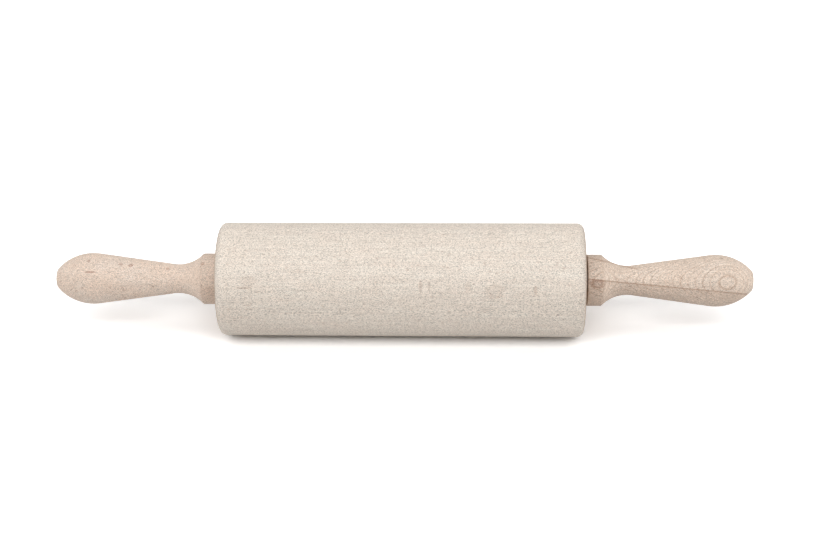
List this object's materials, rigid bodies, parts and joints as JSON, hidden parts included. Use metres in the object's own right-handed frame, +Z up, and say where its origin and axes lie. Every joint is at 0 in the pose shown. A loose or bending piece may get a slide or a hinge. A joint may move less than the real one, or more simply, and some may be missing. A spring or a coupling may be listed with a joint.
{
  "type": "rolling pin",
  "caption": "Beech rolling pin: a plain cylindrical barrel that spins freely on a steel axle between turned handles with collars.",
  "frame": {"origin": "centre of the barrel, on the axis it turns about, which is also the centre of the bounding box", "axes": "+X along the axle towards the right handle, +Z up away from the table, +Y away from the person who looks at it from the front"},
  "size_m": [0.43, 0.07, 0.07],
  "materials": {
    "barrel_beech": "untreated beech, fine sanded",
    "handle_beech": "untreated beech, turned",
    "axle_steel": "bright drawn steel",
    "bush_polyamide": "natural polyamide",
    "washer_steel": "zinc plated steel"
  },
  "bodies": {
    "handles_and_axle": {"axle_rod": "axle_steel", "left_handle": "handle_beech", "right_handle": "handle_beech", "left_thrust_washer": "washer_steel", "right_thrust_washer": "washer_steel"},
    "roller": {"barrel": "barrel_beech", "left_bush": "bush_polyamide", "right_bush": "bush_polyamide"}
  },
  "joints": [
    {"name": "barrel_spin", "type": "hinge", "parent": "handles_and_axle", "child": "roller", "pos_m": [0, 0, 0], "axis": [1, 0, 0], "continuous": true}
  ]
}
